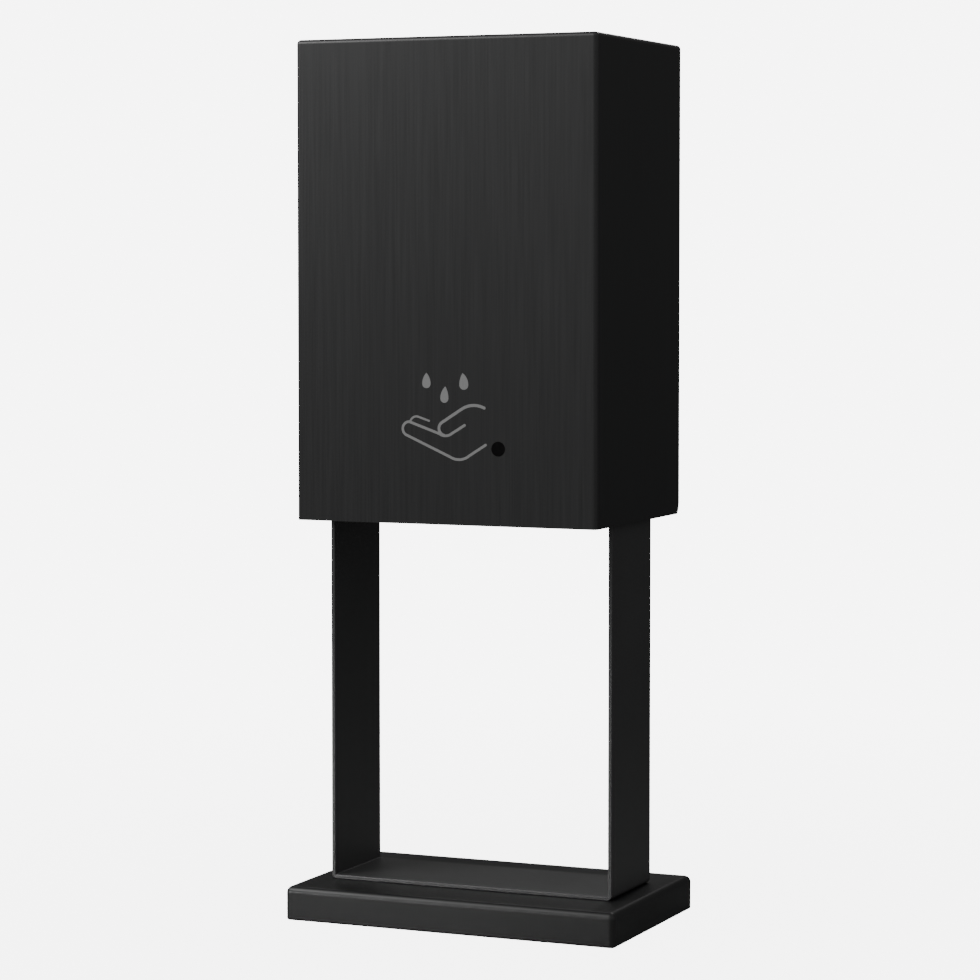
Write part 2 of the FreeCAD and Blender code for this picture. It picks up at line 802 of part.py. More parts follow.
def sector(r_out, r_in, centre, height, z, start_angle, span):
    """Part of an upright ring, between two angles."""
    band = Part.makeCylinder(r_out, height, centre + Z * z, Z, span)
    band = band.cut(rod(r_in, centre + Z * z, Z, height))
    band.rotate(centre, Z, start_angle)
    return band


def tank():
    outer = soft_box((-tank_half, tank_half), (tank_front, tank_rear), (tank_floor, tank_top),
                     tank_corner_r, tank_edge_r)
    w = tank_wall
    inner = soft_box((-tank_half + w, tank_half - w), (tank_front + w, tank_rear - w),
                     (tank_floor + w, tank_top - w), tank_corner_r - w, tank_edge_r - w)
    neck = rod(neck_r, neck_axis + Z * (tank_top - w), Z, neck_h + w)
    tabs = []
    for x, z in tab_screws:
        tab = block((x - tab_w / 2, x + tab_w / 2), (tank_rear, panel_y),
                    (z - 2 * tab_above, z + tab_above / 2))
        tab = tab.makeFillet(5.0, edges_along(tab, Y, lambda c: c.z > tank_top))
        tabs.append(tab)
    lugs = []
    for side in (0, 180):
        lugs.append(sector(neck_r + cap_lug, neck_r - 1, neck_axis, 2.6, neck_top - 9.0, side - 20, 40))
    body = join([outer, neck] + tabs + lugs)
    mouth = rod(neck_r - neck_wall, neck_axis + Z * (tank_top - w - 1), Z, neck_h + w + 2)
    drain = rod(outlet_r, outlet_axis + Z * (tank_floor - 1), Z, w + 2)
    holes = [rod(m4_r + screw_gap, vec(x, tank_rear - 1, z), Y, tank_rear_gap + 2) for x, z in tab_screws]
    return body.cut([inner, mouth, drain] + holes)


def tank_cap():
    bore_r = neck_r + cap_lug + cap_gap
    top = neck_top + cap_gap + seal_h + cap_top_t
    bottom = top - cap_h
    body = rod(cap_r, neck_axis + Z * bottom, Z, cap_h)
    body = body.makeFillet(1.2, edges_at_height(body, top))
    body = body.cut(rod(bore_r, neck_axis + Z * bottom, Z, cap_h - cap_top_t))
    flutes = []
    for i in range(cap_ribs):
        a = math.radians(360.0 * i / cap_ribs)
        centre = neck_axis + vec(cap_r * math.cos(a), cap_r * math.sin(a), bottom)
        flutes.append(rod(0.9, centre, Z, cap_h - 3.0))
    body = body.cut(flutes)
    lugs = []
    for side in (0, 180):
        lugs.append(sector(bore_r + 0.5, neck_r + cap_gap, neck_axis, 2.4, neck_top - 9.0 - cap_gap - 2.4,
                           side - 20, 40))
    bar = block((neck_x - 17, neck_x + 17), (neck_y - 2.5, neck_y + 2.5), (top - 1, top + 5))
    bar = bar.makeFillet(1.5, edges_along(bar, X, lambda c: c.z > top))
    return join([body, bar] + lugs)


def cap_seal():
    z = neck_top + cap_gap
    return ring(neck_r - 0.2, neck_r - neck_wall + 0.2, neck_axis + Z * z, Z, seal_h)


def tank_outlet():
    inside = tank_floor + tank_wall
    spigot_z = deck_z - outlet_drop - spigot_len
    flange = rod(outlet_flange_r, outlet_axis + Z * inside, Z, 2.0)
    thread = rod(outlet_r, outlet_axis + Z * (deck_z - outlet_drop), Z, inside - deck_z + outlet_drop)
    spigot = rod(spigot_r, outlet_axis + Z * spigot_z, Z, spigot_len + 1)
    spigot = spigot.makeChamfer(0.4, edges_at_height(spigot, spigot_z))
    bore = rod(port_bore_r, outlet_axis + Z * (spigot_z - 1), Z, 60)
    return join([flange, thread, spigot]).cut(bore)


def outlet_nut():
    start = outlet_axis + Z * (deck_z - 5.0)
    return hexagon(16.0, start, 5.0).cut(rod(outlet_r, start, Z, 5.0))


def tank_shelf():
    half = tank_half + 0.6
    rim_front = tank_front - 2.5
    deck = block((-half, half), (rim_front, panel_y), (deck_z, tank_floor))
    rim = block((-half, half), (rim_front, rim_front + chassis_t), (deck_z, tank_floor + 8.0))
    flange = block((-40, 40), (panel_y - chassis_t, panel_y), (deck_z, deck_z + 13.5))
    side = half - chassis_t
    low = deck_z - gusset_h
    gusset_pts = [vec(side, panel_y, low), vec(side, panel_y - 4 * gusset_h, deck_z),
                  vec(side, panel_y, deck_z), vec(side, panel_y, low)]
    gusset = Part.Face(Part.makePolygon(gusset_pts)).extrude(X * chassis_t)
    shelf = join([deck, rim, flange] + mirrored(gusset))
    cuts = [rod(outlet_r + 0.5, outlet_axis + Z * (deck_z - 1), Z, chassis_t + 2)]
    for x, z in deck_screws:
        cuts.append(rod(m4_r + screw_gap, vec(x, panel_y - 5, z), Y, 10))
    return shelf.cut(cuts)


def panel_screws():
    """The short screws that hold the inner sheets to the rear panel and the shelf."""
    length = 2 * chassis_t
    screws = [m4(vec(x, panel_y - chassis_t, z), Y, length)
              for x, z in deck_screws + [(keeper_screw_x, keeper_z)]]
    screws += [m4(vec(x, y, shelf_top + chassis_t), Z * -1, length) for x, y in bracket_feet + board_feet]
    return group(screws)


# ---------------------------------------------------------------- pump
tip_r = gear_r + gear_addendum
root_r = gear_r - gear_dedendum
lid_front = cavity_front - lid_t
pump_corners = [(sx * (pump_w / 2 - 3.5) + pump_x, z)
                for sx in (-1, 1) for z in (pump_bottom + 3.5, pump_top - 3.5)]


def involute(angle):
    return math.tan(angle) - angle


def spur_gear(centre_z, phase):
    """An involute spur gear on an axis along Y. A tooth's middle is at the phase angle."""
    pressure = math.radians(gear_angle)
    base_r = gear_r * math.cos(pressure)
    half_tooth = (math.pi * gear_module / 2 - gear_backlash / 2) / (2 * gear_r)
    steps = 5
    flank = [(root_r, half_tooth + involute(pressure))]
    for i in range(steps + 1):
        r = base_r + (tip_r - base_r) * i / steps
        local = math.acos(min(1.0, base_r / r))
        flank.append((r, half_tooth + involute(pressure) - involute(local)))
    points = []
    for tooth in range(gear_teeth):
        middle = math.radians(phase) + 2 * math.pi * tooth / gear_teeth
        sides = [(r, middle - a) for r, a in flank] + [(r, middle + a) for r, a in reversed(flank)]
        for r, a in sides:
            points.append(vec(pump_x + r * math.cos(a), cavity_front + gear_side_gap,
                              centre_z + r * math.sin(a)))
    points.append(points[0])
    return Part.Face(Part.makePolygon(points)).extrude(Y * gear_w)


def drive_gear():
    start = vec(pump_x, cavity_front, drive_z)
    return spur_gear(drive_z, 90.0).cut(rod(spindle_r, start, Y, 20))


def idler_gear():
    start = vec(pump_x, cavity_front, idler_z)
    half_pitch = 180.0 / gear_teeth
    return spur_gear(idler_z, 270.0 + half_pitch).cut(rod(spindle_r + spindle_play, start, Y, 20))


def pump_body():
    body = block((pump_left, pump_right), (cavity_front, pump_rear), (pump_bottom, pump_top))
    body = body.makeFillet(4.0, edges_along(body, Y))
    ports = rod(spigot_r, vec(pump_left - spigot_len, port_y, port_z), X, pump_w + 2 * spigot_len)
    ports = ports.makeChamfer(0.4, ports.Edges[0:1] + ports.Edges[2:3])
    body = join([body, ports])
    cuts = [rod(port_bore_r, vec(pump_left - spigot_len - 1, port_y, port_z), X, pump_w + 2 * spigot_len + 2)]
    for z in (drive_z, idler_z):
        cuts.append(rod(tip_r + gear_tip_gap, vec(pump_x, cavity_front, z), Y, cavity_d))
    cuts.append(rod(spindle_r + spindle_play, vec(pump_x, cavity_front, drive_z), Y, 40))
    cuts.append(rod(spindle_r, vec(pump_x, cavity_front, idler_z), Y, cavity_d + 6.0))
    for x, z in pump_corners:
        cuts.append(rod(m3_r + screw_gap, vec(x, cavity_front - 1, z), Y, 40))
    return body.cut(cuts)


def pump_lid():
    lid = block((pump_left, pump_right), (lid_front, cavity_front), (pump_bottom, pump_top))
    lid = lid.makeFillet(4.0, edges_along(lid, Y))
    holes = [rod(m3_r + screw_gap, vec(x, lid_front - 1, z), Y, 40) for x, z in pump_corners]
    return lid.cut(holes)


def pump_screws():
    length = bracket_rear - lid_front
    return group([m3(vec(x, lid_front, z), Y, length) for x, z in pump_corners])


def idler_pin():
    start = vec(pump_x, cavity_front + gear_side_gap, idler_z)
    return rod(spindle_r, start, Y, cavity_d + 6.0 - gear_side_gap)


def motor_shaft():
    start = vec(pump_x, cavity_front + gear_side_gap, drive_z)
    return rod(spindle_r, start, Y, motor_end + 0.8 - start.y)


def motor_can():
    can = rod(motor_r, vec(pump_x, bracket_rear, drive_z), Y, motor_len)
    rims = [e for e in can.Edges if e.Curve.TypeId == "Part::GeomCircle"]
    can = can.makeFillet(1.0, rims)
    boss = rod(motor_boss_r, vec(pump_x, pump_rear + 0.2, drive_z), Y, chassis_t + 2)
    bore = rod(spindle_r + spindle_play, vec(pump_x, pump_rear, drive_z), Y, motor_len + 20)
    return join([can, boss]).cut(bore)


def motor_end_cap():
    cap = rod(motor_r - 1.2, vec(pump_x, motor_end, drive_z), Y, motor_cap_t)
    boss = rod(4.0, vec(pump_x, motor_end, drive_z), Y, motor_cap_t + 1.5)
    tags = [block((pump_x + s * 7 - 1.4, pump_x + s * 7 + 1.4), (motor_end, motor_end + 5.0),
                  (drive_z - 0.3, drive_z + 0.3)) for s in (-1, 1)]
    pocket = rod(spindle_r + spindle_play, vec(pump_x, motor_end - 1, drive_z), Y, 2.2)
    return join([cap, boss] + tags).cut(pocket)


def pump_bracket():
    x = (pump_left - 4.0, pump_right + 4.0)
    plate = block(x, (pump_rear, bracket_rear), (shelf_top, brace_top))
    foot = block(x, (pump_rear, bracket_rear + 20.0), (shelf_top, shelf_top + chassis_t))
    foot = foot.makeFillet(3.0, edges_along(foot, Z, lambda c: c.y > bracket_rear + 10))
    cuts = [rod(motor_boss_r + 0.2, vec(pump_x, pump_rear - 1, drive_z), Y, chassis_t + 2)]
    for x, z in pump_corners:
        cuts.append(rod(m3_r, vec(x, pump_rear - 1, z), Y, chassis_t + 2))
    for x, y in bracket_feet:
        cuts.append(rod(m4_r + screw_gap, vec(x, y, shelf_top - 1), Z, chassis_t + 2))
    return join([plate, foot]).cut(cuts)


# ---------------------------------------------------------------- tubes
def inlet_tube():
    points = [vec(pump_right, port_y, port_z), vec(riser_x, port_y, port_z),
              vec(riser_x, port_y, deck_z - outlet_drop)]
    return bent_tube(points, tube_bend_r, tube_r, spigot_r)


def outlet_tube():
    points = [vec(pump_left, port_y, port_z), vec(0, nozzle_y, port_z),
              vec(0, nozzle_y, nozzle_end + nozzle_len)]
    return bent_tube(points, tube_bend_r, tube_r, spigot_r)


# ---------------------------------------------------------------- nozzle and sensors
nozzle_axis = vec(0, nozzle_y, 0)
seat_z = nozzle_end + 15.0
ball_z = seat_z - math.sqrt(ball_r ** 2 - seat_r ** 2) - ball_gap
nozzle_nut_h = 3.0
nozzle_nut_z = insert_z - nozzle_nut_h


def nozzle():
    barrel = rod(nozzle_r, nozzle_axis + Z * nozzle_end, Z, nozzle_len)
    collar = rod(nozzle_r + 2.0, nozzle_axis + Z * insert_top, Z, 2.0)
    spigot_z = nozzle_end + nozzle_len
    spigot = rod(spigot_r, nozzle_axis + Z * spigot_z, Z, spigot_len)
    spigot = spigot.makeChamfer(0.4, edges_at_height(spigot, spigot_z + spigot_len))
    chamber = rod(chamber_r, nozzle_axis + Z * (nozzle_end - 1), Z, seat_z - nozzle_end + 1)
    bore = rod(seat_r, nozzle_axis + Z * nozzle_end, Z, 60)
    return join([barrel, collar, spigot]).cut([chamber, bore])


def nozzle_tip():
    plug = rod(chamber_r, nozzle_axis + Z * nozzle_end, Z, tip_h)
    flange = rod(tip_flange_r, nozzle_axis + Z * (nozzle_end - 0.8), Z, 0.8)
    flange = flange.makeFillet(0.3, edges_at_height(flange, nozzle_end - 0.8))
    return join([plug, flange]).cut(rod(tip_bore_r, nozzle_axis + Z * (nozzle_end - 2), Z, tip_h + 4))


def valve_ball():
    return Part.makeSphere(ball_r, nozzle_axis + Z * ball_z)


def coil(r, wire_r, turns, height, start):
    """A helical spring of short straight facets, from a point on its axis upward."""
    per_turn = 14
    sides = 8
    steps = per_turn * turns
    rings = []
    for i in range(steps + 1):
        a = 2 * math.pi * i / per_turn
        out = vec(math.cos(a), math.sin(a), 0)
        middle = start + out * r + Z * (height * i / steps)
        angles = [2 * math.pi * j / sides for j in range(sides)]
        rings.append([middle + out * (wire_r * math.cos(b)) + Z * (wire_r * math.sin(b)) for b in angles])
    faces = [Part.Face(Part.makePolygon(end + end[:1])) for end in (rings[0], rings[-1])]
    for low, high in zip(rings, rings[1:]):
        for j in range(sides):
            a, b, c, d = low[j - 1], low[j], high[j], high[j - 1]
            faces.append(Part.Face(Part.makePolygon([a, b, c, a])))
            faces.append(Part.Face(Part.makePolygon([a, c, d, a])))
    return Part.Solid(Part.Shell(faces))


def valve_spring():
    floor = nozzle_end + tip_h + spring_wire_r
    top = ball_z - math.sqrt(ball_r ** 2 - spring_r ** 2) - spring_wire_r - 0.08
    return coil(spring_r, spring_wire_r, spring_turns, top - floor, nozzle_axis + Z * floor)


def nozzle_nut():
    start = nozzle_axis + Z * nozzle_nut_z
    return hexagon(15.0, start, nozzle_nut_h).cut(rod(nozzle_r, start, Z, nozzle_nut_h))


def nozzle_plate():
    flange = block((-insert_w / 2, insert_w / 2), (nozzle_y - insert_d / 2, nozzle_y + insert_d / 2),
                   (insert_z, shelf_z))
    flange = flange.makeFillet(3.0, edges_along(flange, Z))
    body = block((-insert_hole_x, insert_hole_x), (nozzle_y - insert_hole_y, nozzle_y + insert_hole_y),
                 (shelf_z - 0.5, insert_top))
    pillars = []
    for x in (-insert_hole_x + 3.0, insert_hole_x - 3.0):
        foot = vec(x, nozzle_y, insert_top)
        pillars.append(rod(2.2, foot, Z, sensor_board_z - insert_top))
        pillars.append(rod(1.0, foot, Z, sensor_board_z + sensor_board_t - insert_top))
        pillars.append(rod(1.8, foot + Z * (sensor_board_z + sensor_board_t - insert_top), Z, 0.6))
    cuts = [rod(nozzle_r, nozzle_axis + Z * (insert_z - 1), Z, 20)]
    for x in (-sensor_x, sensor_x):
        cuts.append(rod(window_r, vec(x, nozzle_y, insert_z - 1), Z, 20))
    for x in (-insert_screw_x, insert_screw_x):
        cuts.append(rod(m3_r + screw_gap, vec(x, nozzle_y, insert_z - 1), Z, 20))
    return join([flange, body] + pillars).cut(cuts)


def sensor_windows():
    return group([rod(window_r, vec(x, nozzle_y, insert_z), Z, window_t) for x in (-sensor_x, sensor_x)])


def ir_diodes():
    diodes = []
    for x in (-sensor_x, sensor_x):
        dome_z = insert_z + window_t + 0.3 + diode_r
        body = rod(diode_r, vec(x, nozzle_y, dome_z), Z, sensor_board_z - dome_z)
        diodes.append(join([body, Part.makeSphere(diode_r, vec(x, nozzle_y, dome_z))]))
    return group(diodes)


def sensor_board():
    board = block((-sensor_board_w / 2, sensor_board_w / 2),
                  (nozzle_y - sensor_board_d / 2, nozzle_y + sensor_board_d / 2),
                  (sensor_board_z, sensor_board_z + sensor_board_t))
    cuts = [rod(nozzle_r + 2.5, nozzle_axis + Z * (sensor_board_z - 1), Z, 5)]
    for x in (-insert_hole_x + 3.0, insert_hole_x - 3.0):
        cuts.append(rod(1.0, vec(x, nozzle_y, sensor_board_z - 1), Z, 5))
    return board.cut(cuts)


# ---------------------------------------------------------------- batteries
cell_places = [(box_left + box_wall + cell_gap / 2 + cell_pitch * (i + 0.5),
                box_inner_z + cell_gap / 2 + cell_pitch * (j + 0.5))
               for i in range(cell_rows) for j in range(cell_rows)]
door_y = (box_front - door_gap - door_t, box_front - door_gap)
rail_front = door_y[0] - door_gap - box_wall
lead_exit_z = (port_z - 3.5, port_z - 0.5)


def battery_box():
    outer = block((box_left, box_right), (box_front, panel_y), (box_z, box_top))
    inner = block((box_left + box_wall, box_right - box_wall), (box_front - 1, box_inner_rear),
                  (box_inner_z, box_top - box_wall))
    box = outer.cut(inner)
    parts = [box]
    for edge, way in ((box_left, 1), (box_right, -1)):
        rail = sorted((edge, edge + way * box_wall))
        lip = sorted((edge + way * box_wall, edge + way * (box_wall + rail_lip)))
        parts.append(block(rail, (rail_front, box_front), (box_z, box_top)))
        parts.append(block(lip, (rail_front, rail_front + box_wall), (box_z, box_top)))
    parts.append(block((box_left, box_right), (rail_front, box_front), (box_z, box_inner_z)))
    for x, y in box_feet:
        parts.append(rod(box_foot_r, vec(x, y, shelf_top), Z, box_z - shelf_top))
    screw_holes = [rod(m4_r, vec(x, y, shelf_top), Z, m4_len - chassis_t) for x, y in box_feet]
    return join(parts).cut(screw_holes)


def battery_cells():
    cells = []
    for x, z in cell_places:
        body = rod(cell_r, vec(x, cell_front + cell_tip_h, z), Y, cell_len - cell_tip_h)
        body = body.makeFillet(cell_edge_r, [e for e in body.Edges if e.Curve.TypeId == "Part::GeomCircle"])
        tip = rod(cell_tip_r, vec(x, cell_front, z), Y, cell_tip_h + 1)
        cells.append(join([body, tip]))
    return group(cells)


def battery_contacts():
    contacts = []
    half = contact_w / 2
    root = box_inner_rear - contact_t
    for x, z in cell_places:
        plate = block((x - half, x + half), (root, box_inner_rear), (z - half, z + half))
        start = vec(x, root, z)
        cone = Part.makeCone(contact_root_r, contact_end_r, root - cell_rear, start, Y * -1)
        core = Part.makeCone(contact_root_r - contact_wall, contact_end_r - contact_wall, root - cell_rear,
                             start, Y * -1)
        contacts.append(join([plate, cone.cut(core)]))
    return group(contacts)


def battery_door():
    left = box_left + box_wall + door_gap
    right = box_right - box_wall - door_gap
    parts = [block((left, right), door_y, (box_inner_z + door_gap, box_top - door_gap))]
    middle = (left + right) / 2
    for i in range(grip_count):
        z = box_top - grip_drop + grip_pitch * i
        parts.append(block((middle - grip_w / 2, middle + grip_w / 2), (door_y[0] - grip_proud, door_y[0]),
                           (z, z + grip_h)))
    return join(parts)


def door_contacts():
    contacts = []
    low = box_inner_z + 4.0
    high = box_top - box_wall - door_travel - 1.5
    for x in sorted(set(place[0] for place in cell_places)):
        half = door_contact_w / 2
        strip = block((x - half, x + half), (door_y[1], door_y[1] + contact_t), (low, high))
        bumps = [rod(door_contact_r, vec(x, door_y[1], z), Y, cell_front - cell_gap - door_y[1])
                 for cx, z in cell_places if cx == x]
        contacts.append(join([strip] + bumps))
    return group(contacts)


# ---------------------------------------------------------------- circuit board
board_right = board_left + board_w
board_top = board_z + board_h
board_corners = [(x, z) for x in (board_left + board_screw_inset, board_right - board_screw_inset)
                 for z in (board_z + board_screw_inset, board_top - board_screw_inset)]
switch_x = board_left + 14.0
switch_z = board_top - 9.0
switch_front = board_y - switch_h
button_x = board_left + 40.0
button_z = board_top - 10.0
plug_y = board_y - plug_h / 2
sensor_plug_x = board_left + 16.0
motor_plug_x = board_left + 24.0


def circuit_board():
    board = block((board_left, board_right), (board_y, board_back), (board_z, board_top))
    board = board.makeFillet(board_corner_r, edges_along(board, Y))
    return board.cut([rod(m3_r + screw_gap, vec(x, board_y - 1, z), Y, 5) for x, z in board_corners])


def board_bracket():
    x = (board_left - board_bracket_side, board_right + board_bracket_side)
    plate = block(x, (brace_y, brace_y + chassis_t), (shelf_top, brace_top))
    foot = block(x, (board_y - board_foot_len, brace_y + chassis_t), (shelf_top, shelf_top + chassis_t))
    posts = [rod(m3_r + standoff_wall, vec(x, board_back, z), Y, standoff_h + 0.5) for x, z in board_corners]
    cuts = [rod(m3_r, vec(x, board_back - 1, z), Y, standoff_h + chassis_t + 2) for x, z in board_corners]
    cuts += [rod(m4_r + screw_gap, vec(x, y, shelf_top - 1), Z, 4) for x, y in board_feet]
    cuts.append(block((sensor_plug_x - 5, sensor_plug_x + 5), (brace_y - 1, brace_y + 5),
                      (shelf_top + 3, board_z + 1)))
    return join([plate, foot] + posts).cut(cuts)


def m3_screws():
    """Six alike: circuit board to its posts, nozzle plate to the shelf."""
    screws = [m3(vec(x, board_y, z), Y, m3_len) for x, z in board_corners]
    screws += [m3(vec(x, nozzle_y, insert_z), Z, m3_len) for x in (-insert_screw_x, insert_screw_x)]
    return group(screws)


def board_components():
    """Connectors, chips, a capacitor, the light and the button's housing, all on the board's face."""
    def on_board(x, z, depth):
        return block(x, (board_y - depth, board_y), z)
    left = board_left
    parts = [
        on_board((left + 1, left + 8), (lead_exit_z[0] - 2.5, lead_exit_z[1] + 2.5), plug_h),
        on_board((sensor_plug_x - 4, sensor_plug_x + 4), (board_z + 2, board_z + 7), plug_h),
        on_board((motor_plug_x - 4, motor_plug_x + 4), (board_top - 5, board_top - 1), plug_h),
        on_board((left + 42, left + 54), (board_z + 22, board_z + 32), 2.2),
        on_board((left + 44, left + 50), (board_z + 10, board_z + 14), 1.6),
        on_board((left + 10, left + 15), (board_z + 24, board_z + 30), 1.8),
    ]
    parts.append(rod(4.0, vec(left + 56, board_y, board_z + 14), Y * -1, 9.0))
    parts.append(rod(1.5, vec(lens_x, board_y, lens_z), Y * -1, 2.0))
    housing = on_board((button_x - 4, button_x + 4), (button_z - 4, button_z + 4), button_housing)
    parts.append(housing.cut(rod(1.7, vec(button_x, board_y - 1.0, button_z), Y * -1, 10)))
    for i in range(5):
        parts.append(on_board((left + 20 + 4 * i, left + 22 + 4 * i), (board_z + 34, board_z + 35.2), 0.8))
    return group(parts)


def light_guide():
    tip = cover_front + 1.3
    collar_front = board_y - 2.6
    guide = rod(2.4, vec(lens_x, tip, lens_z), Y, collar_front - tip)
    collar = ring(3.4, 1.8, vec(lens_x, collar_front, lens_z), Y, board_y - collar_front)
    cap = rod(3.4, vec(lens_x, collar_front - 0.6, lens_z), Y, 0.6)
    return join([guide, cap, collar])


def power_switch():
    body = block((switch_x - 6, switch_x + 6), (switch_front, board_y), (switch_z - 3.5, switch_z + 3.5))
    slot = block((switch_x - 3.8, switch_x + 3.8), (switch_front - 1, switch_front + 3),
                 (switch_z - 1.3, switch_z + 1.3))
    return body.cut(slot)


def switch_knob():
    x = switch_x - switch_travel / 2
    knob = block((x - 2, x + 2), (switch_front - 4.0, switch_front - 0.3), (switch_z - 2.2, switch_z + 2.2))
    knob = knob.makeFillet(0.6, [e for e in knob.Edges if e.CenterOfMass.y < switch_front - 3.9])
    stem = block((x - 1.6, x + 1.6), (switch_front - 0.4, switch_front + 2.4),
                 (switch_z - 1.0, switch_z + 1.0))
    return join([knob, stem])


def dose_button():
    under = board_y - button_housing - button_travel - 0.3
    cap = rod(button_r, vec(button_x, under - 2.4, button_z), Y, 2.4)
    cap = cap.makeFillet(0.7, [e for e in cap.Edges if e.CenterOfMass.y < under - 2.3])
    stem = rod(1.4, vec(button_x, under - 0.2, button_z), Y, button_housing - 1.0)
    return join([cap, stem])


def wiring():
    """Insulated leads: battery to board, motor to board, sensors to board."""
    bend = 3.0
    gutter_x = (box_right - tube_r) / 2
    wires = []
    for z in lead_exit_z:
        wires.append(bent_rod([vec(box_right, box_front + 5, z), vec(gutter_x, box_front + 5, z),
                               vec(gutter_x, plug_y, z), vec(board_left + 1, plug_y, z)], bend, lead_r))
    for side in (-1, 1):
        tag_x = pump_x + side * 7
        x = motor_plug_x + side * 1.6
        y = motor_end + 4.0
        rise = drive_z + 18
        wires.append(bent_rod([vec(tag_x, y, drive_z + 0.3), vec(tag_x, y, rise), vec(x, y, rise + 8),
                               vec(x, y, lead_run_z), vec(x, plug_y, lead_run_z),
                               vec(x, plug_y, board_top - 1)], 2.5, lead_r))
    for x in (sensor_plug_x - 1.2, sensor_plug_x + 1.2):
        start = vec(x, nozzle_y - sensor_board_d / 2 + 2.0, sensor_board_z + sensor_board_t)
        run = board_z - 1.6
        wires.append(bent_rod([start, vec(start.x, start.y, run), vec(x, plug_y, run),
                               vec(x, plug_y, board_z + 2)], 1.2, lead_r * 0.7))
    return group(wires)


# ---------------------------------------------------------------- output
sub_parts = [
    base_plate, rubber_feet, stand_frame, frame_studs, stud_nuts, m4_screws, clinch_nuts,
    back_plate, front_cover, hinge_pins, stop_pins, hand_symbol, indicator_lens,
    lock_body, lock_nut, lock_core, lock_cam, lock_keeper,
    tank, tank_cap, cap_seal, tank_outlet, outlet_nut, tank_shelf, panel_screws,
    pump_body, pump_lid, pump_screws, idler_pin, drive_gear, idler_gear, motor_shaft, motor_can,
    motor_end_cap, pump_bracket, inlet_tube, outlet_tube,
    nozzle, nozzle_tip, nozzle_nut, nozzle_plate, valve_ball, valve_spring,
    sensor_windows, ir_diodes, sensor_board,
    battery_box, battery_cells, battery_contacts, battery_door, door_contacts,
    circuit_board, board_bracket, m3_screws, board_components, light_guide, power_switch,
    switch_knob, dose_button, wiring,
]

os.makedirs("parts", exist_ok=True)
for sub_part in sub_parts:
    sub_part().exportStep("parts/" + sub_part.__name__ + ".step")
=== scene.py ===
import json
import math

import bpy
from mathutils import Euler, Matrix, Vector


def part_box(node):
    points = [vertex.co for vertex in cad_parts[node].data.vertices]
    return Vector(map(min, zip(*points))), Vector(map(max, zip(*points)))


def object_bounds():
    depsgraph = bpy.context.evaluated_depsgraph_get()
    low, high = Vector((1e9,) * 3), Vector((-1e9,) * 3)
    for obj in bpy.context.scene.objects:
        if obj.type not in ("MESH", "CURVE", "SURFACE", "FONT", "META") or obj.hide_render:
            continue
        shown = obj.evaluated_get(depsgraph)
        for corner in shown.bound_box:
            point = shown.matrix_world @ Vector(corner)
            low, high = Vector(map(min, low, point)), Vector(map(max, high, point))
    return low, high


# A touch-free dispenser on a table stand: finishes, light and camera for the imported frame. Metres.

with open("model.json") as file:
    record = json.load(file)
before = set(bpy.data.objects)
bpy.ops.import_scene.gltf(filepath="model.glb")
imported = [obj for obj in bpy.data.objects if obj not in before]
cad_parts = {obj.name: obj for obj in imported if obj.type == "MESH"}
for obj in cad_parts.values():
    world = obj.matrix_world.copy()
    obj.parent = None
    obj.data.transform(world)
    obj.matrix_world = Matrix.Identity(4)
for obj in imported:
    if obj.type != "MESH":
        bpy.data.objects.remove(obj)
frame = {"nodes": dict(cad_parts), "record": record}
nodes = frame["nodes"]
cad_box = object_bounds()

MM = 1e-3
UM = 1e-6                 # for the depth of bumps
NOISE_ROUGHNESS = 0.55


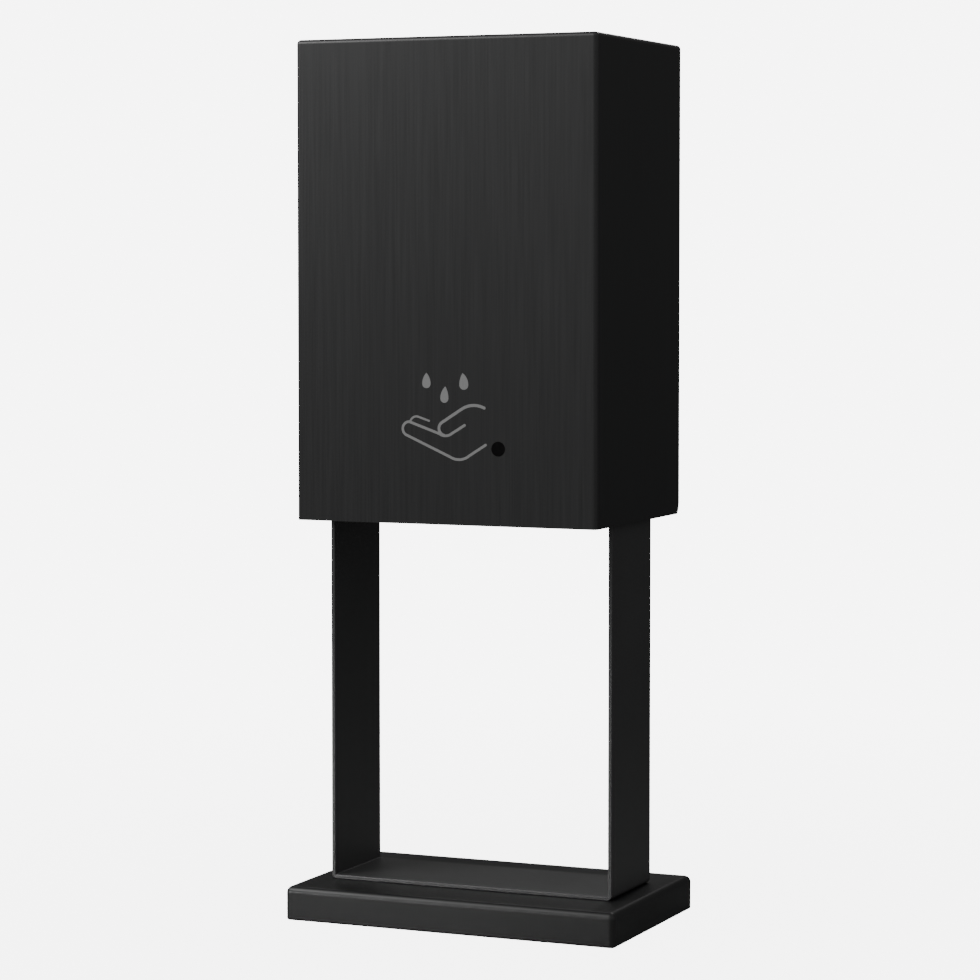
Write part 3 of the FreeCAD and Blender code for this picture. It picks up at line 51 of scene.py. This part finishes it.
# ---------------------------------------------------------------- node helpers
class Finish:
    """A material made of nodes. Each method adds a node and returns its output socket."""

    def __init__(self, name):
        self.mat = bpy.data.materials.new(name)
        self.mat.use_nodes = True
        self.tree = self.mat.node_tree
        self.shader = self.tree.nodes["Principled BSDF"]
        self.place = self.tree.nodes.new("ShaderNodeTexCoord").outputs["Object"]

    def link(self, source, node, socket):
        if isinstance(source, bpy.types.NodeSocket):
            self.tree.links.new(source, node.inputs[socket])
        else:
            node.inputs[socket].default_value = source

    def stretched(self, scale):
        node = self.tree.nodes.new("ShaderNodeMapping")
        node.inputs["Scale"].default_value = scale
        self.tree.links.new(self.place, node.inputs["Vector"])
        return node.outputs["Vector"]

    def noise(self, scale, detail=4.0, stretch=(1, 1, 1)):
        node = self.tree.nodes.new("ShaderNodeTexNoise")
        self.tree.links.new(self.stretched(stretch), node.inputs["Vector"])
        node.inputs["Scale"].default_value = scale
        node.inputs["Detail"].default_value = detail
        node.inputs["Roughness"].default_value = NOISE_ROUGHNESS
        return node.outputs["Fac"]

    def cells(self, scale, output="Distance"):
        node = self.tree.nodes.new("ShaderNodeTexVoronoi")
        self.tree.links.new(self.place, node.inputs["Vector"])
        node.inputs["Scale"].default_value = scale
        return node.outputs[output]

    def axis(self, name):
        node = self.tree.nodes.new("ShaderNodeSeparateXYZ")
        self.tree.links.new(self.place, node.inputs["Vector"])
        return node.outputs[name]

    def patch(self, x_range, z_range):
        """One inside an upright rectangle of the X-Z plane, nothing outside it."""
        inside = []
        for name, (low, high) in (("X", x_range), ("Z", z_range)):
            offset = self.maths("SUBTRACT", self.axis(name), (low + high) / 2)
            inside.append(self.maths("LESS_THAN", self.maths("ABSOLUTE", offset, 0.0), (high - low) / 2))
        return self.maths("MULTIPLY", inside[0], inside[1])

    def bricks(self, width, height, gap):
        """Staggered straight lines in the X-Z plane: one on a line, nothing between."""
        turn = self.tree.nodes.new("ShaderNodeMapping")
        turn.inputs["Rotation"].default_value = (math.radians(90), 0, 0)
        self.tree.links.new(self.place, turn.inputs["Vector"])
        node = self.tree.nodes.new("ShaderNodeTexBrick")
        self.tree.links.new(turn.outputs["Vector"], node.inputs["Vector"])
        sizes = (("Scale", 1.0), ("Brick Width", width), ("Row Height", height), ("Mortar Size", gap),
                 ("Mortar Smooth", 0.0))
        for name, number in sizes:
            node.inputs[name].default_value = number
        return node.outputs["Fac"]

    def ramp(self, value, stops):
        """Stops are (position, grey or colour) pairs."""
        node = self.tree.nodes.new("ShaderNodeValToRGB")
        elements = node.color_ramp.elements
        while len(elements) < len(stops):
            elements.new(0.5)
        for element, (position, colour) in zip(elements, stops):
            element.position = position
            if not isinstance(colour, tuple):
                colour = (colour, colour, colour)
            element.color = (*colour, 1.0)
        self.tree.links.new(value, node.inputs["Fac"])
        return node.outputs["Color"]

    def span(self, value, low, high, to_low, to_high):
        node = self.tree.nodes.new("ShaderNodeMapRange")
        self.tree.links.new(value, node.inputs["Value"])
        ends = (("From Min", low), ("From Max", high), ("To Min", to_low), ("To Max", to_high))
        for name, number in ends:
            node.inputs[name].default_value = number
        return node.outputs["Result"]

    def maths(self, how, a, b):
        node = self.tree.nodes.new("ShaderNodeMath")
        node.operation = how
        self.link(a, node, 0)
        self.link(b, node, 1)
        return node.outputs["Value"]

    def mix(self, amount, a, b):
        node = self.tree.nodes.new("ShaderNodeMix")
        node.data_type = "RGBA"
        node.clamp_result = True
        self.link(amount, node, 0)
        for value, index in ((a, 6), (b, 7)):
            if isinstance(value, tuple):
                value = (*value, 1.0)
            self.link(value, node, index)
        return node.outputs[2]

    def bump(self, height, strength, distance, below=None):
        node = self.tree.nodes.new("ShaderNodeBump")
        node.inputs["Strength"].default_value = strength
        node.inputs["Distance"].default_value = distance
        self.tree.links.new(height, node.inputs["Height"])
        if below is not None:
            self.tree.links.new(below, node.inputs["Normal"])
        return node.outputs["Normal"]

    def set(self, **sockets):
        names = {"colour": "Base Color", "rough": "Roughness", "normal": "Normal", "metal": "Metallic",
                 "ior": "IOR", "specular": "Specular IOR Level", "through": "Transmission Weight",
                 "under": "Subsurface Weight", "under_scale": "Subsurface Scale", "alpha": "Alpha"}
        for key, value in sockets.items():
            if isinstance(value, tuple) and len(value) == 3:
                value = (*value, 1.0)
            self.link(value, self.shader, names[key])
        return self.mat


# ---------------------------------------------------------------- finishes
def cover_paint():
    """Black coat over brushed sheet: fine upright grain shows through."""
    f = Finish("cover_paint")
    grain = f.noise(60, 6, (26, 26, 0.35))
    drift = f.noise(7, 3, (1, 1, 0.5))
    tone = f.mix(f.span(grain, 0.3, 0.7, 0, 1), (0.0105, 0.0106, 0.011), (0.016, 0.016, 0.0165))
    rough = f.maths("ADD", f.span(grain, 0.3, 0.7, 0.36, 0.44), f.span(drift, 0.3, 0.7, -0.02, 0.02))
    speck = f.noise(2600, 2)
    normal = f.bump(grain, 0.10, 60 * UM, f.bump(speck, 0.06, 30 * UM))
    return f.set(colour=tone, rough=rough, normal=normal, specular=0.5)


def stand_paint():
    """Black powder coat on the frame: very fine texture."""
    f = Finish("stand_paint")
    speck = f.noise(2200, 3)
    drift = f.noise(18, 4)
    tone = f.mix(drift, (0.030, 0.030, 0.0306), (0.040, 0.040, 0.0408))
    rough = f.maths("ADD", f.span(drift, 0.3, 0.7, 0.38, 0.45), f.span(speck, 0.3, 0.7, -0.02, 0.02))
    return f.set(colour=tone, rough=rough, normal=f.bump(speck, 0.08, 40 * UM), specular=0.5)


def base_gloss():
    """Darker, smoother coat on the base, with slight orange peel and dust."""
    f = Finish("base_gloss")
    peel = f.noise(420, 2)
    dust = f.noise(3500, 2)
    drift = f.noise(9, 4)
    tone = f.mix(drift, (0.0055, 0.0055, 0.0057), (0.009, 0.009, 0.0093))
    rough = f.maths("ADD", f.span(drift, 0.3, 0.7, 0.36, 0.41), f.span(dust, 0.45, 0.75, 0.0, 0.03))
    return f.set(colour=tone, rough=rough, normal=f.bump(peel, 0.05, 80 * UM), specular=0.36)


def chassis_zinc():
    """Zinc-plated sheet with faint spangle and rolling lines."""
    f = Finish("chassis_zinc")
    spangle = f.cells(140, output="Color")
    lines = f.noise(90, 5, (1, 1, 14))
    tone = f.mix(f.span(spangle, 0, 1, 0, 0.5), (0.50, 0.52, 0.54), (0.62, 0.63, 0.64))
    tone = f.mix(f.span(lines, 0.3, 0.7, 0, 0.35), tone, (0.42, 0.43, 0.45))
    rough = f.maths("ADD", f.span(spangle, 0, 1, 0.30, 0.40), f.span(lines, 0.3, 0.7, -0.04, 0.05))
    return f.set(colour=tone, metal=1.0, rough=rough, normal=f.bump(lines, 0.05, 50 * UM))


def metal(name, dark, light, rough_low, rough_high, scale=900, stretch=(1, 1, 1)):
    """Plain metal with fine tool marks and a little tarnish."""
    f = Finish(name)
    marks = f.noise(scale, 5, stretch)
    tarnish = f.noise(120, 4)
    tone = f.mix(f.span(tarnish, 0.35, 0.7, 0, 1), light, dark)
    polish = f.span(marks, 0.3, 0.7, rough_low, rough_high)
    rough = f.maths("ADD", polish, f.span(tarnish, 0.3, 0.7, 0, 0.06))
    return f.set(colour=tone, metal=1.0, rough=rough, normal=f.bump(marks, 0.08, 40 * UM))


def plastic(name, dark, light, rough):
    """Moulded plastic: spark-eroded grain and slight colour drift."""
    f = Finish(name)
    spark = f.noise(1400, 3)
    drift = f.noise(35, 3)
    tone = f.mix(f.span(drift, 0.3, 0.7, 0, 1), dark, light)
    rough_map = f.span(spark, 0.3, 0.7, rough - 0.05, rough + 0.06)
    return f.set(colour=tone, rough=rough_map, normal=f.bump(spark, 0.25, 50 * UM))


def rubber(name, dark, light, rough=0.72):
    """Matt rubber with pores and a little dust."""
    f = Finish(name)
    pores = f.noise(1800, 4)
    dust = f.noise(60, 5)
    tone = f.mix(f.span(dust, 0.35, 0.75, 0, 1), dark, light)
    return f.set(colour=tone, rough=f.span(pores, 0.3, 0.7, rough - 0.08, rough + 0.08),
                 normal=f.bump(pores, 0.3, 80 * UM), specular=0.35)


def symbol_print():
    """Grey printed ink."""
    f = Finish("symbol_print")
    ink = f.noise(2400, 3)
    tone = f.mix(f.span(ink, 0.35, 0.7, 0, 1), (0.205, 0.205, 0.205), (0.235, 0.235, 0.235))
    return f.set(colour=tone, rough=f.span(ink, 0.3, 0.7, 0.48, 0.6), normal=f.bump(ink, 0.12, 20 * UM))


def dark_window():
    """Near-black infrared window."""
    f = Finish("dark_window")
    haze = f.noise(700, 3)
    tone = f.mix(haze, (0.0008, 0.0008, 0.001), (0.002, 0.0012, 0.0016))
    rough = f.span(haze, 0.3, 0.7, 0.3, 0.42)
    return f.set(colour=tone, rough=rough, normal=f.bump(haze, 0.03, 20 * UM), specular=0.12)


def tank_plastic():
    """Milky polyethylene, blow-moulded: soft, cloudy and slightly see-through."""
    f = Finish("tank_plastic")
    cloud = f.noise(26, 4)
    skin = f.noise(600, 3)
    tone = f.mix(f.span(cloud, 0.3, 0.7, 0, 1), (0.74, 0.78, 0.77), (0.86, 0.88, 0.87))
    return f.set(colour=tone, rough=f.span(skin, 0.3, 0.7, 0.38, 0.5), normal=f.bump(skin, 0.15, 100 * UM),
                 under=0.35, under_scale=0.004, through=0.12)


def tube_silicone():
    """Cloudy silicone, clearer than the tank."""
    f = Finish("tube_silicone")
    cloud = f.noise(240, 3)
    tone = f.mix(cloud, (0.70, 0.73, 0.72), (0.84, 0.86, 0.85))
    return f.set(colour=tone, rough=f.span(cloud, 0.3, 0.7, 0.3, 0.42), normal=f.bump(cloud, 0.1, 100 * UM),
                 under=0.3, under_scale=0.002, through=0.25)


def board_green():
    """Solder mask with straight copper tracks under it and small tinned pads."""
    f = Finish("board_green")
    wide = f.bricks(9.5 * MM, 3.1 * MM, 0.22 * MM)
    tall = f.bricks(4.3 * MM, 6.7 * MM, 0.18 * MM)
    lines = f.maths("MAXIMUM", wide, tall)
    pads = f.ramp(f.cells(330), [(0.10, 1.0), (0.13, 0.0)])
    weave = f.noise(900, 2)
    mask = f.mix(weave, (0.006, 0.075, 0.030), (0.008, 0.088, 0.036))
    tone = f.mix(lines, mask, (0.009, 0.104, 0.041))
    tone = f.mix(pads, tone, (0.62, 0.60, 0.55))
    rough = f.mix(pads, (0.28, 0.28, 0.28), (0.4, 0.4, 0.4))
    metal_at = f.mix(pads, (0, 0, 0), (0.9, 0.9, 0.9))
    return f.set(colour=tone, rough=rough, normal=f.bump(lines, 0.3, 60 * UM), metal=metal_at)


def component_black():
    """Black chips, off-white plugs and a bare aluminium capacitor, told apart by their place on the board."""
    f = Finish("component_black")
    low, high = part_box("circuit_board")
    board_h = (high.z - low.z) / MM

    # each piece's millimetres right of and above the board's low corner
    battery_plug = ((0.5, 8.5), (26.5, 35.5))
    sensor_plug = ((11.5, 20.5), (1.5, 7.5))
    motor_plug = ((19.5, 28.5), (board_h - 5.5, board_h - 0.5))
    capacitor = ((51.5, 60.5), (9.5, 18.5))

    def at(place):
        x_range, z_range = place
        return f.patch([low.x + x * MM for x in x_range], [low.z + z * MM for z in z_range])

    spark = f.noise(1500, 3)
    tone = f.mix(spark, (0.012, 0.012, 0.013), (0.022, 0.022, 0.024))
    for plug in (battery_plug, sensor_plug, motor_plug):
        tone = f.mix(at(plug), tone, (0.58, 0.56, 0.49))
    bare = at(capacitor)
    tone = f.mix(bare, tone, (0.56, 0.57, 0.58))
    metal_at = f.mix(bare, (0, 0, 0), (1, 1, 1))
    return f.set(colour=tone, metal=metal_at, rough=f.span(spark, 0.3, 0.7, 0.32, 0.5),
                 normal=f.bump(spark, 0.15, 40 * UM))


def cell_jacket():
    """A battery's printed jacket: dark, with a copper band at the positive end and bare metal caps."""
    f = Finish("cell_jacket")
    low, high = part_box("battery_cells")
    along = f.span(f.axis("Y"), low.y, high.y, 0, 1)
    band = f.ramp(along, [(0.045, 0.0), (0.05, 1.0), (0.27, 1.0), (0.275, 0.0)])
    bare = f.ramp(along, [(0.0, 1.0), (0.04, 1.0), (0.045, 0.0), (0.975, 0.0), (0.98, 1.0)])
    scuff = f.noise(300, 5)
    tone = f.mix(band, (0.012, 0.013, 0.016), (0.55, 0.22, 0.06))
    tone = f.mix(bare, tone, (0.6, 0.6, 0.6))
    metal_at = f.mix(bare, band, (1, 1, 1))
    return f.set(colour=tone, metal=metal_at, rough=f.span(scuff, 0.3, 0.7, 0.2, 0.34),
                 normal=f.bump(scuff, 0.05, 40 * UM))


def light_clear():
    """Clear acrylic for the light guide and diodes."""
    f = Finish("light_clear")
    haze = f.noise(400, 3)
    tone = f.mix(haze, (0.80, 0.83, 0.84), (0.92, 0.94, 0.95))
    return f.set(colour=tone, rough=f.span(haze, 0.3, 0.7, 0.05, 0.14), normal=f.bump(haze, 0.05, 40 * UM),
                 through=0.85, ior=1.49)


def lead_insulation():
    """Red leads with a soft sheen and a little handling grime."""
    f = Finish("lead_insulation")
    skin = f.noise(900, 3)
    grime = f.noise(90, 4)
    tone = f.mix(f.span(grime, 0.35, 0.7, 0, 1), (0.42, 0.017, 0.012), (0.27, 0.014, 0.011))
    return f.set(colour=tone, rough=f.span(skin, 0.3, 0.7, 0.36, 0.48), normal=f.bump(skin, 0.1, 50 * UM))


finishes = {
    "cover_paint": cover_paint(),
    "stand_paint": stand_paint(),
    "base_gloss": base_gloss(),
    "chassis_zinc": chassis_zinc(),
    "zinc_fastener": metal("zinc_fastener", (0.50, 0.49, 0.44), (0.66, 0.66, 0.63), 0.24, 0.34),
    "turned_brass": metal("turned_brass", (0.52, 0.36, 0.13), (0.74, 0.57, 0.27), 0.18, 0.28),
    "foot_rubber": rubber("foot_rubber", (0.012, 0.012, 0.012), (0.035, 0.034, 0.033)),
    "symbol_print": symbol_print(),
    "dark_window": dark_window(),
    "lock_chrome": metal("lock_chrome", (0.66, 0.66, 0.68), (0.80, 0.80, 0.82), 0.07, 0.14, 500),
    "tank_plastic": tank_plastic(),
    "cap_plastic": plastic("cap_plastic", (0.022, 0.10, 0.24), (0.035, 0.14, 0.31), 0.42),
    "seal_rubber": rubber("seal_rubber", (0.22, 0.045, 0.03), (0.32, 0.075, 0.05), 0.6),
    "pump_plastic": plastic("pump_plastic", (0.74, 0.74, 0.71), (0.84, 0.84, 0.81), 0.36),
    "gear_steel": metal("gear_steel", (0.42, 0.42, 0.43), (0.56, 0.56, 0.57), 0.2, 0.3),
    "motor_steel": metal("motor_steel", (0.44, 0.44, 0.44), (0.58, 0.58, 0.57), 0.22, 0.32, 500, (1, 12, 1)),
    "black_plastic": plastic("black_plastic", (0.012, 0.012, 0.013), (0.022, 0.022, 0.023), 0.5),
    "tube_silicone": tube_silicone(),
    "board_green": board_green(),
    "component_black": component_black(),
    "cell_jacket": cell_jacket(),
    "spring_steel": metal("spring_steel", (0.52, 0.51, 0.47), (0.68, 0.67, 0.63), 0.2, 0.28),
    "light_clear": light_clear(),
    "switch_red": plastic("switch_red", (0.34, 0.02, 0.014), (0.45, 0.03, 0.02), 0.34),
    "lead_insulation": lead_insulation(),
}

for row in frame["record"]["subparts"]:
    node = nodes[row["node"]]
    node.data.materials.clear()
    node.data.materials.append(finishes[row["material_slot"]])


# ---------------------------------------------------------------- floor
def floor():
    """A pale round floor that thins out to nothing, so its edge never shows."""
    radius = 3.0
    sides = 64
    near_r = 0.10
    gone_r = 0.75
    near_alpha = 0.15
    mesh = bpy.data.meshes.new("floor")
    turns = [2 * math.pi * i / sides for i in range(sides)]
    ring = [Vector((radius * math.cos(a), radius * math.sin(a), 0)) for a in turns]
    mesh.from_pydata(ring, [], [list(range(sides))])
    plane = bpy.data.objects.new("floor", mesh)
    bpy.context.scene.collection.objects.link(plane)
    f = Finish("floor_pale")
    away = f.tree.nodes.new("ShaderNodeVectorMath")
    away.operation = "LENGTH"
    f.tree.links.new(f.place, away.inputs[0])
    grain = f.noise(40, 3)
    tone = f.mix(grain, (0.90, 0.90, 0.90), (0.93, 0.93, 0.93))
    f.set(colour=tone, rough=f.span(grain, 0.3, 0.7, 0.85, 0.95),
          alpha=f.span(away.outputs["Value"], near_r, gone_r, near_alpha, 0.0), specular=0.0)
    mesh.materials.append(f.mat)


floor()


# ---------------------------------------------------------------- light
def studio():
    """A white studio: brightest in front and on the right, dimmer on the left, dim behind and below."""
    backdrop = 7.0            # what the camera sees behind the object
    world = bpy.data.worlds.new("studio")
    bpy.context.scene.world = world
    world.use_nodes = True
    tree = world.node_tree
    tree.nodes.clear()
    out = tree.nodes.new("ShaderNodeOutputWorld")
    seen = tree.nodes.new("ShaderNodeBackground")
    seen.inputs["Color"].default_value = (1, 1, 1, 1)
    seen.inputs["Strength"].default_value = backdrop
    room = tree.nodes.new("ShaderNodeBackground")
    direction = tree.nodes.new("ShaderNodeTexCoord").outputs["Generated"]

    def fall(towards, low, high, from_strength, to_strength):
        """Strength that changes smoothly as a direction turns towards the given one."""
        lean = tree.nodes.new("ShaderNodeVectorMath")
        lean.operation = "DOT_PRODUCT"
        lean.inputs[1].default_value = Vector(towards).normalized()
        tree.links.new(direction, lean.inputs[0])
        node = tree.nodes.new("ShaderNodeMapRange")
        node.interpolation_type = "SMOOTHSTEP"
        for name, value in (("From Min", low), ("From Max", high), ("To Min", from_strength),
                            ("To Max", to_strength)):
            node.inputs[name].default_value = value
        tree.links.new(lean.outputs["Value"], node.inputs["Value"])
        return node.outputs["Result"]

    strength = tree.nodes.new("ShaderNodeMath")
    strength.operation = "MULTIPLY"
    tree.links.new(fall((-0.3, 0.95, 0.0), -0.6, 1.0, 0.75, 0.07), strength.inputs[0])
    tree.links.new(fall((0, 0, 1), -0.30, 0.25, 0.16, 1.0), strength.inputs[1])
    tree.links.new(strength.outputs["Value"], room.inputs["Strength"])
    ray = tree.nodes.new("ShaderNodeLightPath").outputs["Is Camera Ray"]
    pick = tree.nodes.new("ShaderNodeMixShader")
    tree.links.new(ray, pick.inputs["Fac"])
    tree.links.new(room.outputs["Background"], pick.inputs[1])
    tree.links.new(seen.outputs["Background"], pick.inputs[2])
    tree.links.new(pick.outputs["Shader"], out.inputs["Surface"])


def soft_light(name, place, aim, width, height, watts, spread=180):
    data = bpy.data.lights.new(name, "AREA")
    data.shape = "RECTANGLE"
    data.size = width
    data.size_y = height
    data.energy = watts
    data.spread = math.radians(spread)
    lamp = bpy.data.objects.new(name, data)
    lamp.location = place
    lamp.rotation_mode = "QUATERNION"
    lamp.rotation_quaternion = (Vector(aim) - Vector(place)).to_track_quat("-Z", "Y")
    bpy.context.scene.collection.objects.link(lamp)


studio()
middle = (cad_box[0] + cad_box[1]) / 2
above_middle = middle + Vector((0, 0, 0.1))
soft_light("key", (-0.72, -0.68, 0.92), above_middle, width=0.55, height=0.6, watts=11)
soft_light("back", (-0.45, 0.95, 0.95), (0, 0, 0.1), width=0.7, height=0.4, watts=0.7)
# narrow and on the centre line, so that it reaches the back plate but not the case's sides
soft_light("rear", (0.0, 1.1, 1.15), middle, width=0.14, height=0.14, watts=2.5)
# along the base's front face
soft_light("low", (-0.26, -0.42, 0.045), (0, -0.05, -0.03), width=0.34, height=0.04, watts=0.105, spread=50)


# ---------------------------------------------------------------- camera
def camera():
    downward = 3.227
    turned = 23.458
    data = bpy.data.cameras.new("camera")
    data.lens = 120.56
    data.sensor_width = 36.0
    data.shift_y = -0.045
    data.clip_start = 0.05
    data.clip_end = 20.0
    view = bpy.data.objects.new("camera", data)
    view.location = (0.6147, -1.4171, 0.3103)
    view.rotation_euler = Euler((math.radians(90 - downward), 0, math.radians(turned)))
    bpy.context.scene.collection.objects.link(view)
    bpy.context.scene.camera = view


camera()
